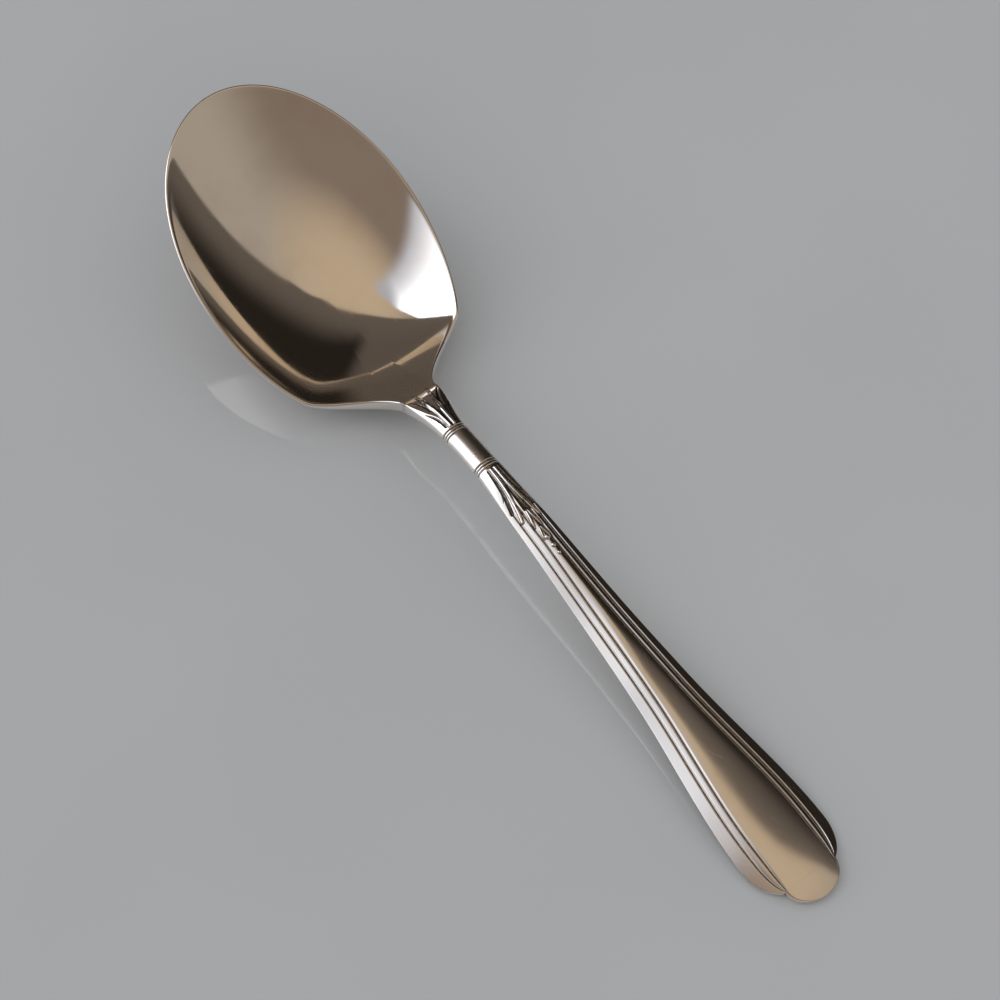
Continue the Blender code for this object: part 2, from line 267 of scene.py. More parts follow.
@dataclass(frozen=True)
class Stroke:
    """A tapered stroke struck along a bent line in plan.

    It is raised, or cut where its height is negative. Its widths are those at its start, near its
    bend and at its end.
    """

    start: Plan
    bend: Plan
    end: Plan
    widths: Point
    height: float
    steps: int = 90
    roundness: float = 0.8

    def rise(self, x: np.ndarray, y: np.ndarray) -> np.ndarray:
        """How much the stroke lifts the surface at places in plan.

        Args:
            x: Places along the spoon.
            y: Places across the spoon.

        Returns:
            The lift at each place.
        """
        lift = np.zeros_like(x)
        for step in range(self.steps + 1):
            share = step / self.steps
            weights = ((1 - share) ** 2, 2 * share * (1 - share), share**2)
            along, across = weigh(weights, (self.start, self.bend, self.end))
            half = sum(w * width for w, width in zip(weights, self.widths)) / 2
            reach = np.hypot(x - along, y - across) / half
            fullness = min(1.0, half / abs(self.height))
            lift = np.maximum(lift, np.clip(1 - reach**2, 0, 1) ** self.roundness * fullness)
        return lift * self.height

    def pair(self) -> list["Stroke"]:
        """This stroke and the same one on the other side of the spoon's middle line."""
        start, bend, end = ((x, -y) for x, y in (self.start, self.bend, self.end))
        return [self, replace(self, start=start, bend=bend, end=end)]


class Skin:
    """The vertices of a finished piece, for what is struck into its surface or rubbed off it.

    The bends, in 1/m, are those from which a mark of a hollow or a ridge starts, and at which it
    is full.
    """

    full_cut = 0.00008
    upward_gain = 4.0
    least_square = 1e-14
    hollow_bend = (150.0, 1100.0)
    ridge_bend = (700.0, 3000.0)

    def __init__(self, piece: bpy.types.Object) -> None:
        """Read the vertices and edges of a piece.

        Args:
            piece: The piece, with its modifiers applied.
        """
        self.mesh = piece.data
        self.places = np.empty(len(self.mesh.vertices) * 3)
        self.mesh.vertices.foreach_get("co", self.places)
        self.places = self.places.reshape(-1, 3)
        self.cuts = np.zeros(len(self.places))
        edges = np.empty(len(self.mesh.edges) * 2, int)
        self.mesh.edges.foreach_get("vertices", edges)
        self.edges = edges.reshape(-1, 2)

    def normals(self) -> np.ndarray:
        """Read the directions of the surface.

        Returns:
            The outward direction at each vertex.
        """
        normals = np.empty(len(self.mesh.vertices) * 3)
        self.mesh.vertex_normals.foreach_get("vector", normals)
        return normals.reshape(-1, 3)

    def write(self) -> None:
        """Put the places back into the mesh."""
        self.mesh.vertices.foreach_set("co", self.places.ravel())
        self.mesh.update()

    def rest_on(self, height: float) -> None:
        """Flatten whatever would go below the surface that the spoon lies on."""
        self.places[:, 2] = np.maximum(self.places[:, 2], height)
        self.write()

    def strike(self, strokes: list[Stroke], origin: float) -> None:
        """Lift and cut the upper surface along strokes.

        Args:
            strokes: Strokes in plan.
            origin: The place along the spoon that they count from.
        """
        x, y = self.places[:, 0] - origin, self.places[:, 1]
        normals = self.normals()
        raised, cut = np.zeros_like(x), np.zeros_like(x)
        for stroke in strokes:
            if stroke.height > 0:
                raised = np.maximum(raised, stroke.rise(x, y))
            else:
                cut = np.minimum(cut, stroke.rise(x, y))
        upward = np.clip(normals[:, 2] * self.upward_gain, 0, 1)
        self.cuts = np.clip(-cut * upward / self.full_cut, 0, 1)
        self.places += normals * (upward * (raised + cut))[:, None]
        self.write()

    def along_edges(self, measure: Callable[[np.ndarray, np.ndarray], np.ndarray]) -> np.ndarray:
        """Average a measure over the edges that leave each vertex.

        Args:
            measure: Gives each edge its value, from the numbers of its vertices here and there.

        Returns:
            The mean at each vertex.
        """
        total, count = np.zeros(len(self.places)), np.zeros(len(self.places))
        for here, there in (self.edges.T, self.edges[:, ::-1].T):
            np.add.at(total, here, measure(here, there))
            np.add.at(count, here, 1.0)
        return total / np.maximum(count, 1.0)

    @staticmethod
    def share(values: np.ndarray, ends: Plan) -> np.ndarray:
        """How far values have gone from one end of a range to the other, from 0 to 1."""
        return np.clip((values - ends[0]) / (ends[1] - ends[0]), 0, 1)

    def mark_wear(self, passes: int) -> None:
        """Store how far each vertex lies in a hollow or on a ridge.

        Args:
            passes: How often the marks spread to their neighbours.
        """
        normals = self.normals()

        def bend(here: np.ndarray, there: np.ndarray) -> np.ndarray:
            """How sharply the surface bends up along edges.

            Args:
                here: Numbers of the vertices that the edges leave.
                there: Numbers of the vertices that they reach.

            Returns:
                The bend of each edge.
            """
            step = self.places[there] - self.places[here]
            rise = np.einsum("ij,ij->i", step, normals[here])
            return rise / np.maximum(np.einsum("ij,ij->i", step, step), self.least_square)

        bends = self.along_edges(bend)
        sunk = np.maximum(self.share(bends, self.hollow_bend), self.cuts)
        for name, marks in ((HOLLOW, sunk), (WEAR, self.share(-bends, self.ridge_bend))):
            for _ in range(passes):
                marks = (marks + self.along_edges(lambda _, there: marks[there])) / 2
            stored = self.mesh.attributes.new(name, "FLOAT", "POINT")
            stored.data.foreach_set("value", marks.astype(np.float32))


class Tone(Enum):
    """Plain colours of the spoon and the studio, in linear light."""

    SILVER = (0.93, 0.90, 0.86)
    WORN = (0.96, 0.94, 0.91)
    FILM = (0.80, 0.72, 0.62)
    TARNISH = (0.035, 0.027, 0.021)
    TABLE = (0.500, 0.500, 0.496)
    TABLE_CLOUD = (0.478, 0.479, 0.477)
    CEILING = (0.50, 0.385, 0.265)
    NEAR_WALL = (0.215, 0.165, 0.130)
    FAR_WALL = (0.36, 0.31, 0.255)
    HALF_SHADE = (0.112, 0.090, 0.073)
    SHADE = (0.018, 0.014, 0.011)
    WINDOW = (2.1, 2.13, 2.25)
    WINDOW_HEAD = (0.42, 0.42, 0.46)
    FILL = (0.74, 0.755, 0.775)


class Signal:
    """A shader socket that takes part in sums."""

    def __init__(self, sheet: "NodeSheet", socket: bpy.types.NodeSocket) -> None:
        """Wrap a socket of a sheet."""
        self.sheet = sheet
        self.socket = socket

    def math(self, operation: str, *values: "Operand") -> "Signal":
        """The result of a Math node on these values."""
        return self.sheet.node("ShaderNodeMath", {"operation": operation}, dict(enumerate(values)))

    def __add__(self, other: "Operand") -> "Signal":
        """This plus the other."""
        return self.math("ADD", self, other)

    __radd__ = __add__

    def __sub__(self, other: "Operand") -> "Signal":
        """This less the other."""
        return self.math("SUBTRACT", self, other)

    def __rsub__(self, other: "Operand") -> "Signal":
        """The other less this."""
        return self.math("SUBTRACT", other, self)

    def __mul__(self, other: "Operand") -> "Signal":
        """This times the other."""
        return self.math("MULTIPLY", self, other)

    __rmul__ = __mul__

    def ramp(self, low: float, high: float) -> "Signal":
        """A soft ramp from 0 at low to 1 at high."""
        inputs = {"Value": self, "From Min": low, "From Max": high}
        return self.sheet.node("ShaderNodeMapRange", {"interpolation_type": "SMOOTHSTEP"}, inputs)


Operand = Signal | float
Value = Signal | Tone | float | tuple[float, ...]


@dataclass(frozen=True)
class Grain:
    """The make of a noise: patches to the millimetre, octaves, turn in degrees and stretch."""

    scale: float
    detail: float
    turn: float = 0.0
    stretch: Point = (1.0, 1.0, 1.0)


class NodeSheet:
    """The node tree of one material or of the world.

    A Mix node has sockets for several kinds of value, and these are the numbers of its colours.
    """

    mix_first = 6
    mix_second = 7
    mix_result = 2

    def __init__(self, tree: bpy.types.NodeTree, output: str) -> None:
        """Clear a tree and give it one output node.

        Args:
            tree: The tree.
            output: The output node's type.
        """
        self.tree = tree
        self.tree.nodes.clear()
        self.output = self.tree.nodes.new(output)

    def node(
        self,
        kind: str,
        settings: dict[str, object] | None = None,
        inputs: dict[str | int, Value] | None = None,
        output: str | int = 0,
    ) -> Signal:
        """Add a node.

        Args:
            kind: The node's type.
            settings: Its settings, set first.
            inputs: Values or links of its sockets.
            output: Which of its outputs is wanted.

        Returns:
            That output.
        """
        made = self.tree.nodes.new(kind)
        for name, value in (settings or {}).items():
            setattr(made, name, value)
        for name, value in (inputs or {}).items():
            socket = made.inputs[name]
            if isinstance(value, Signal):
                self.tree.links.new(value.socket, socket)
            elif isinstance(value, Tone):
                socket.default_value = (*value.value, 1.0)
            else:
                socket.default_value = value
        return Signal(self, made.outputs[output])

    def blend(self, share: Operand, first: Value, second: Value) -> Signal:
        """A colour that goes from the first to the second as the share goes from 0 to 1."""
        inputs = {0: share, self.mix_first: first, self.mix_second: second}
        return self.node("ShaderNodeMix", {"data_type": "RGBA"}, inputs, self.mix_result)

    def towards(self, way: Signal, goal: Point) -> Signal:
        """How far a direction points towards a goal."""
        settings = {"operation": "DOT_PRODUCT"}
        return self.node("ShaderNodeVectorMath", settings, {0: way, 1: goal}, "Value")

    def millimetres(self) -> Signal:
        """Object coordinates in millimetres."""
        inputs = {0: self.node("ShaderNodeTexCoord", output="Object"), "Scale": MILLIMETRES}
        return self.node("ShaderNodeVectorMath", {"operation": "SCALE"}, inputs)

    def noise(self, place: Signal, grain: Grain) -> Signal:
        """Noise on a turned and stretched place.

        Args:
            place: Coordinates in millimetres.
            grain: The make of the noise.

        Returns:
            A value about 0.5.
        """
        turn = (0.0, 0.0, math.radians(grain.turn))
        inputs = {"Vector": place, "Rotation": turn, "Scale": grain.stretch}
        laid = self.node("ShaderNodeMapping", {"vector_type": "TEXTURE"}, inputs)
        inputs = {"Vector": laid, "Scale": grain.scale, "Detail": grain.detail}
        return self.node("ShaderNodeTexNoise", {}, inputs)

    def attribute(self, name: str) -> Signal:
        """A value that is stored on the piece's vertices."""
        return self.node("ShaderNodeAttribute", {"attribute_name": name}, output="Fac")

    def finish(self, surface: Signal) -> None:
        """Link a shader to the output."""
        self.tree.links.new(surface.socket, self.output.inputs["Surface"])


@dataclass(frozen=True)
class SilverFinish:
    """Polished silver plate: a thin warm film, fine scratches, worn ridges and dark hollows."""

    polish: float = 0.06
    smudge: float = 0.05
    clouds: Grain = Grain(0.11, 3.0)
    specks: Grain = Grain(1.7, 4.0)
    film_clouds: Plan = (0.42, 0.72)
    film_share: float = 0.35
    film_specks: Plan = (0.6, 0.8)
    speck_share: float = 0.10
    wear_share: float = 0.7
    hollow_marks: Plan = (0.05, 0.55)
    hollow_specks: Plan = (0.3, 0.6)
    hollow_speck_share: float = 0.15
    hollow_share: float = 0.92
    hollow_roughness: float = 0.25
    smudge_clouds: Plan = (0.35, 0.75)
    dull_specks: Plan = (0.5, 0.8)
    speck_roughness: float = 0.03
    scratches: tuple[Grain, ...] = (
        Grain(1.0, 2.0, 8.0, (9.0, 0.09, 9.0)),
        Grain(1.0, 2.0, -17.0, (9.0, 0.11, 9.0)),
        Grain(1.0, 2.0, 33.0, (9.0, 0.13, 9.0)),
    )
    scratch_streaks: Plan = (0.66, 0.78)
    scratch_roughness: float = 0.05
    scratch_depth: float = 0.04
    bump_distance: float = 0.00002

    def material(self, name: str) -> bpy.types.Material:
        """Make the material of one piece.

        Args:
            name: Name of the material.

        Returns:
            A material that reads the piece's own coordinates and marks.
        """
        material = bpy.data.materials.new(name)
        material.use_nodes = True
        sheet = NodeSheet(material.node_tree, "ShaderNodeOutputMaterial")
        place = sheet.millimetres()
        clouds, specks = sheet.noise(place, self.clouds), sheet.noise(place, self.specks)
        scratched: Operand = 0.0
        for grain in self.scratches:
            scratched = sheet.noise(place, grain).ramp(*self.scratch_streaks) + scratched
        hollow, wear = sheet.attribute(HOLLOW), sheet.attribute(WEAR)
        film = clouds.ramp(*self.film_clouds) * self.film_share
        film = film + specks.ramp(*self.film_specks) * self.speck_share
        bright = sheet.blend(film, Tone.SILVER, Tone.FILM)
        rubbed = sheet.blend(wear * self.wear_share, bright, Tone.WORN)
        broken = self.hollow_speck_share * specks.ramp(*self.hollow_specks)
        dark = hollow.ramp(*self.hollow_marks) * (1 - self.hollow_speck_share + broken)
        colour = sheet.blend(dark * self.hollow_share, rubbed, Tone.TARNISH)
        roughness = self.polish + clouds.ramp(*self.smudge_clouds) * self.smudge
        roughness = roughness + specks.ramp(*self.dull_specks) * self.speck_roughness
        roughness = roughness + scratched * self.scratch_roughness
        roughness = roughness + hollow * self.hollow_roughness
        bump = {
            "Height": 0.0 - scratched,
            "Strength": self.scratch_depth,
            "Distance": self.bump_distance,
        }
        inputs = {
            "Base Color": colour,
            "Metallic": 1.0,
            "Roughness": roughness,
            "Normal": sheet.node("ShaderNodeBump", {}, bump),
        }
        sheet.finish(sheet.node("ShaderNodeBsdfPrincipled", {}, inputs))
        return material


def dress(piece: bpy.types.Object, finish: SilverFinish, node: str) -> None:
    """Give a piece its finish and its place in the frame.

    Args:
        piece: The finished piece.
        finish: Its silver.
        node: The CAD node that it stands for.
    """
    piece.data.materials.clear()
    piece.data.materials.append(finish.material(piece.name + "_finish"))
    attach(piece, BODY)
    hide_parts(node)
    triangles = sum(len(face.vertices) - 2 for face in piece.data.polygons)
    LOG.info("%s stands for %s: %d triangles", piece.name, node, triangles)


@dataclass(frozen=True)
class RingBand:
    """The struck lines of one ring band, from the middle of the seam outwards."""

    gap: float = 0.00003
    seam_depth: float = 0.00013
    seam_width: float = 0.00012
    pitch: float = 0.00048
    line_width: float = 0.00012
    line_depth: float = 0.00016

    def stations(self) -> list[Plan]:
        """Set out the band along the spoon.

        Returns:
            Stations away from the seam, each with its depth below the surface.
        """
        middle = (self.seam_width + self.pitch - self.line_width) / 2
        near, far = self.pitch - self.line_width, self.pitch + self.line_width
        return [
            (self.gap, self.seam_depth),
            (self.seam_width, 0.0),
            (middle, 0.0),
            (near, 0.0),
            (self.pitch - self.line_width / 3, self.line_depth),
            (self.pitch + self.line_width / 3, self.line_depth),
            (far, 0.0),
            (far + self.line_width, 0.0),
        ]


@dataclass(frozen=True)
class RimPlace:
    """A place on the bowl's outline in plan.

    The step is how far its edge lies above the dished surface, the drop is the edge's thickness,
    and the lip is how far its upper line is drawn in.
    """

    x: float
    y: float
    step: float
    drop: float
    lip: float

    @property
    def reach(self) -> float:
        """The distance from the bowl's centre."""
        return math.hypot(self.x, self.y)


class EdgeRow(Enum):
    """The rows of the bowl's edge, counted from its upper line."""

    UPPER = 0
    BEAD = 1
    LOWER = 2


@dataclass
class Bowl:
    """The shouldered bowl with its rim, heel and root, up to the first ring band."""

    name: str = "bowl_silver"
    node: str = "bowl"
    front: float = 0.0257
    back: float = 0.0290
    width: float = 0.0381
    shoulder_back: float = 0.0193
    heel_length: float = 0.0090
    shoulder_lead: Plan = (0.0016, -0.0020)
    root_lead: Plan = (-0.0045, 0.0014)
    tilt: float = math.radians(22.8)
    rim_sweep: float = 0.7
    depth: float = 0.00907
    wall: float = 0.0014
    side_power: float = 4.9
    side_share: float = 0.238
    heel_power: float = 3.0
    ramp_slope: float = 0.712
    ramp_bend: float = 37.2
    ramp_sunk: float = 0.00085
    ramp_trough: float = 14.6
    ramp_softness: float = 0.00186
    crown_power: float = 6.0
    edge_power: float = 5.0
    rim_lip: float = 0.0004
    rim_drop: float = 0.0006
    rim_bulge: float = 0.00014
    root_length: float = 0.0098
    root_width: float = 0.0062
    root_thickness: float = 0.0030
    root_rise: float = 0.0010
    root_slope: float = 0.66
    root_squareness: float = 0.06
    neck_width: float = NECK_WIDTH
    neck_thickness: float = NECK_THICKNESS
    neck_rise: float = 0.0033
    neck_slope: float = NECK_SLOPE
    root_spots: int = 13
    heel_steps: int = 9
    back_steps: int = 8
    front_steps: int = 14
    root_steps: int = 22
    levels: int = 2
    wear_passes: int = 3
    band: RingBand = RingBand()
    finish: SilverFinish = SilverFinish(polish=0.05)
    shares: tuple[float, ...] = (
        0.07, 0.15, 0.24, 0.33, 0.42, 0.51, 0.60, 0.68, 0.76, 0.83, 0.89, 0.94, 0.975, 1.0
    )
    middle_reach: Plan = (0.0045, 0.0025)
    least_reach: float = 1e-9
    stem: Stroke = Stroke(
        start=(-0.0009, 0.00034), bend=(-0.0050, 0.00036), end=(-0.0096, 0.0013),
        widths=(0.00046, 0.00060, 0.00020), height=0.00024,
    )
    leaf: Stroke = Stroke(
        start=(-0.0012, 0.00100), bend=(-0.0032, 0.0010), end=(-0.0050, 0.0021),
        widths=(0.00030, 0.00042, 0.00012), height=-0.00016,
    )
    side_leaf: Stroke = Stroke(
        start=(-0.0050, 0.00115), bend=(-0.0070, 0.0013), end=(-0.0084, 0.0025),
        widths=(0.00026, 0.00036, 0.00012), height=-0.00014,
    )
    centre_x: float = field(init=False)
    lift: float = field(init=False)

    def __post_init__(self) -> None:
        """Find the bowl's centre, and the height of the rim there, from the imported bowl."""
        low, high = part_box(self.node)
        self.centre_x = low.x + self.front
        self.lift = high.z - self.rim_height(self.rim_lip - self.front)

    @property
    def root_at(self) -> float:
        """Where the heel becomes the root, from the bowl's centre."""
        return self.shoulder_back + self.heel_length

    @property
    def joint_at(self) -> float:
        """The middle of the first ring band, from the bowl's centre."""
        return self.root_at + self.root_length

    @property
    def joint_height(self) -> float:
        """The height of the axis over the table at the first ring band."""
        return self.lift + self.root_height(self.joint_at)

    def rim_height(self, x: float) -> float:
        """The height of the rim at x, with the tip held up."""
        return self.rim_sweep * x**2 - math.tan(self.tilt) * x

    def root_height(self, x: float) -> float:
        """Follow the root's axis from the heel to the first ring band.

        Args:
            x: Place along the bowl.

        Returns:
            The height of the axis there.
        """
        shoulder = self.rim_height(self.shoulder_back)
        low, high = shoulder + self.root_rise, shoulder + self.neck_rise
        line = Sweep(low, self.root_slope, high, self.neck_slope, self.root_length)
        return line.at(x - self.root_at)

    def root_angle(self, spot: int) -> float:
        """The angle of a spot round the upper half of the root, from the +Y side."""
        return math.pi * (self.root_spots - spot - 0.5) / self.root_spots

    def root_point(self, x: float, cut: float, angle: float) -> Point:
        """A point of the root's section.

        Args:
            x: Place along the bowl.
            cut: Depth below the surface.
            angle: Angle round the section, from the +Y side up.

        Returns:
            The point, from the bowl's centre.
        """
        share = smooth((x - self.root_at) / self.root_length)
        width = mix(self.root_width, self.neck_width, share) - 2 * cut
        thickness = mix(self.root_thickness, self.neck_thickness, share) - 2 * cut
        squareness = mix(self.root_squareness, 1.0, share)
        rise = math.copysign(abs(math.sin(angle)) ** squareness, math.sin(angle))
        return (x, math.cos(angle) * width / 2, self.root_height(x) + rise * thickness / 2)

    def root_corner(self) -> Point:
        """The point where the rim meets the root on the +Y side."""
        return self.root_point(self.root_at, 0.0, self.root_angle(self.root_spots - 1))

    def oval_share(self, x: float, y: float) -> float:
        """How far out a place in plan lies in the bowl's oval, from 0 in the middle to 1."""
        length = self.back if x > 0 else self.front
        return math.hypot(x / length, y / (self.width / 2))

    def dish_height(self, x: float, y: float) -> float:
        """Follow the dished surface, which the heel's ramp takes over towards the root.

        Args:
            x: Place along the bowl.
            y: Place across it.

        Returns:
            The height there.
        """
        oval = self.oval_share(x, y)
        sides = mix(oval**2, oval**self.side_power, self.side_share)
        dish = self.rim_height(x) - self.depth * (1 - sides)
        top = self.root_height(self.root_at) + self.root_thickness / 2 - self.ramp_sunk
        bent = min(self.root_at - x, self.ramp_slope / self.ramp_bend)
        ramp = top - self.ramp_slope * bent + self.ramp_bend * bent**2 / 2
        ramp += self.ramp_trough * y**2
        return (dish + ramp + math.hypot(dish - ramp, self.ramp_softness)) / 2

    def heel_curve(self, share: float) -> Plan:
        """Follow the outline on the +Y side from the root to the shoulder.

        Args:
            share: How far along, from 0 at the root to 1 at the shoulder.

        Returns:
            The place in plan.
        """
        sides = self.width / 2 * math.sqrt(1 - (self.shoulder_back / self.back) ** 2)
        root, shoulder = self.root_corner()[:2], (self.shoulder_back, sides)
        root_end = (root[0] + self.root_lead[0], root[1] + self.root_lead[1])
        shoulder_end = (shoulder[0] + self.shoulder_lead[0], shoulder[1] + self.shoulder_lead[1])
        rest = 1 - share
        weights = (rest**3, 3 * share * rest**2, 3 * share**2 * rest, share**3)
        return weigh(weights, (root, root_end, shoulder_end, shoulder))

    def rim_places(self) -> list[RimPlace]:
        """Set out the whole outline, from the root round.

        Returns:
            The root's places, then those of the +Y side, the tip and the other side.
        """
        corner = self.root_corner()
        corner_step = corner[2] - self.dish_height(*corner[:2])
        axis = self.root_height(self.root_at)
        places = []
        for spot in range(self.root_spots):
            x, y, top = self.root_point(self.root_at, 0.0, self.root_angle(spot))
            places.append(RimPlace(x, y, top - self.dish_height(x, y), 2 * (top - axis), 0.0))
        side = []
        for share in between(0.0, 1.0, self.heel_steps):
            drop = mix(2 * (corner[2] - axis), self.rim_drop, smooth(share))
            step = corner_step * (1 - share**2) ** 2
            side.append(RimPlace(*self.heel_curve(share), step, drop, self.rim_lip * share))
        shoulder = math.asin(self.shoulder_back / self.back)
        angles = between(shoulder, 0.0, self.back_steps)
        angles += between(0.0, -QUARTER_TURN, self.front_steps)
        for angle in angles:
            length = self.back if angle > 0 else self.front
            x, y = length * math.sin(angle), self.width / 2 * math.cos(angle)
            side.append(RimPlace(x, y, 0.0, self.rim_drop, self.rim_lip))
        return places + side + [replace(place, y=-place.y) for place in reversed(side[:-1])]

    def ring_place(self, place: RimPlace, share: float, lip: float) -> Plan:
        """Find where a ring crosses the ray to a place: oval inside, outline further out.

        Args:
            place: The place on the outline.
            share: How far out the ring lies, from 0 to 1.
            lip: How far the outermost ring is drawn in.

        Returns:
            The crossing, in plan.
        """
        reach = place.reach
        oval = reach / self.oval_share(place.x, place.y)
        ring = (mix(oval, reach, share**self.heel_power) - lip) * share
        return place.x / reach * ring, place.y / reach * ring

    def upper_point(self, place: RimPlace, share: float) -> Point:
        """A point inside the bowl, on the way to a place on the outline.

        Args:
            place: The place on the outline.
            share: How much of the way has been gone.

        Returns:
            The point, from the bowl's centre.
        """
        outer = self.ring_place(place, share, 0.0)
        x, y = self.ring_place(place, share, place.lip)
        sunk = self.dish_height(*outer) - self.rim_height(outer[0]) + self.rim_height(x)
        return (x, y, sunk + place.step * share**self.crown_power)

    def lower_point(self, place: RimPlace, share: float) -> Point:
        """A point of the underside, on the way to a place on the outline.

        Args:
            place: The place on the outline.
            share: How much of the way has been gone.

        Returns:
            The point, from the bowl's centre.
        """
        x, y = self.ring_place(place, share, 0.0)
        under = self.dish_height(x, y) + place.step * share**self.crown_power
        return (x, y, under - mix(self.wall, place.drop, share**self.edge_power))

    def bead_point(self, place: RimPlace) -> Point:
        """The outermost point of the rounded edge.

        Args:
            place: The place on the outline.

        Returns:
            The point, from the bowl's centre.
        """
        high, low = self.upper_point(place, 1.0), self.lower_point(place, 1.0)
        out = self.rim_bulge if place.lip > 0 else 0.0
        x, y, z = ((a + b) / 2 for a, b in zip(high, low))
        return (x + place.x / place.reach * out, y + place.y / place.reach * out, z + out)

    def laid(self, ring: Ring) -> Ring:
        """A ring moved from the bowl's centre to its place on the table."""
        return [(x + self.centre_x, y, z + self.lift) for x, y, z in ring]

    def strokes(self) -> list[Stroke]:
        """The leaf that is struck into the root, counted back from the first ring band."""
        return self.stem.pair() + self.leaf.pair() + self.side_leaf.pair()

    def build(self) -> bpy.types.Object:
        """Model the bowl from its middle out over the rim and back underneath, then its root.

        Returns:
            The finished piece.
        """
        places = self.rim_places()
        upper, lower = (
            [self.laid([point(place, share) for place in places]) for share in self.shares]
            for point in (self.upper_point, self.lower_point)
        )
        bead = self.laid([self.bead_point(place) for place in places])
        middle = self.laid([(0.0, 0.0, self.dish_height(0.0, 0.0))])[0]
        cage = Cage(self.name, upper[0], middle)
        cage.add_rings(upper[1:] + [bead] + lower[::-1])
        cage.close_to_point()
        edge = len(upper) - 1
        cage.open_band(range(edge, edge + len(EdgeRow)), range(self.root_spots))
        self.draw_root(cage, edge)
        piece = cage.finish(self.levels)
        skin = Skin(piece)
        self.settle_middle(skin)
        skin.rest_on(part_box(self.node)[0].z)
        skin.strike(self.strokes(), self.centre_x + self.joint_at)
        skin.mark_wear(self.wear_passes)
        dress(piece, self.finish, self.node)
        return piece

    def settle_middle(self, skin: Skin) -> None:
        """Bring the middle back to the dished surface, where many faces meet in one point.

        Args:
            skin: The bowl's vertices.
        """
        for place, normal in zip(skin.places, skin.normals()):
            x, y = place[0] - self.centre_x, place[1]
            reach = math.hypot(x, y)
            if reach < self.middle_reach[0] and normal[2] > 0:
                drawn_in = self.rim_lip * self.oval_share(x, y) / max(reach, self.least_reach)
                spread = 1 / (1 - drawn_in)
                sunk = self.dish_height(x * spread, y * spread) - self.rim_height(x * spread)
                height = sunk + self.rim_height(x) + self.lift
                place[2] = mix(place[2], height, ramped(reach, self.middle_reach))
        skin.write()

    def root_place(self, x: float, cut: float, row: EdgeRow, spot: int) -> Point:
        """A point of the root that grows from the opening in the heel.

        Args:
            x: Place along the bowl.
            cut: Depth below the surface.
            row: The row of the edge that it grows from.
            spot: The spot in that row.

        Returns:
            The point, over the table.
        """
        angle = self.root_angle(spot)
        if row is EdgeRow.BEAD:
            angle = 0.0 if spot else math.pi
        elif row is EdgeRow.LOWER:
            angle = -angle
        return self.laid([self.root_point(x, cut, angle)])[0]

    def draw_root(self, cage: Cage, edge: int) -> None:
        """Extrude the opening in the heel to the first ring band.

        Args:
            cage: The bowl's cage, with the opening selected.
            edge: The row of the upper edge.
        """
        band = [(self.joint_at - away, cut) for away, cut in reversed(self.band.stations())]
        shank = [(x, 0.0) for x in between(self.root_at, band[0][0], self.root_steps + 1)[:-1]]
        for x, cut in shank + band:
            cage.extrude(
                lambda row, spot, x=x, cut=cut: self.root_place(x, cut, EdgeRow(row - edge), spot)
            )
        cage.close_flat()


@dataclass
class Neck:
    """The round neck between the two ring bands."""

    joint_x: float
    joint_height: float
    name: str = "neck_silver"
    node: str = "neck"
    length: float = 0.0078
    width: float = NECK_WIDTH
    waist: float = 0.0041
    thickness: float = NECK_THICKNESS
    slope: float = NECK_SLOPE
    bend_at: float = 0.0380
    bend_height: float = 0.0060
    bend_slope: float = -0.118
    sides: int = 28
    steps: int = 10
    levels: int = 2
    wear_passes: int = 3
    band: RingBand = RingBand()
    finish: SilverFinish = SilverFinish(polish=0.26)

    def axis_height(self, x: float) -> float:
        """The height of the axis at x from the first ring band, up to the handle's bend."""
        line = Sweep(self.joint_height, self.slope, self.bend_height, self.bend_slope, self.bend_at)
        return line.at(x)

    def section(self, x: float, cut: float) -> Ring:
        """The neck's section.

        Args:
            x: Place along the neck.
            cut: Depth below the surface, all round.

        Returns:
            The ring of points, from the +Y side over the top.
        """
        drawn_in = (self.width - self.waist) * math.sin(math.pi * x / self.length) ** 2 + 2 * cut
        across, high = (self.width - drawn_in) / 2, (self.thickness - drawn_in) / 2
        angles = [2 * math.pi * (side + 0.5) / self.sides for side in range(self.sides)]
        along, middle = self.joint_x + x, self.axis_height(x)
        return [(along, math.cos(a) * across, middle + math.sin(a) * high) for a in angles]

    def build(self) -> bpy.types.Object:
        """Model the neck from the first ring band to the second.

        Returns:
            The finished piece.
        """
        first = self.band.stations()
        last = [(self.length - away, cut) for away, cut in reversed(first)]
        shank = [(x, 0.0) for x in between(first[-1][0], last[0][0], self.steps)[:-1]]
        rings = [self.section(x, cut) for x, cut in first + shank + last]
        cage = Cage(self.name, rings[0])
        cage.add_rings(rings[1:])
        cage.close_flat()
        piece = cage.finish(self.levels)
        Skin(piece).mark_wear(self.wear_passes)
        dress(piece, self.finish, self.node)
        return piece


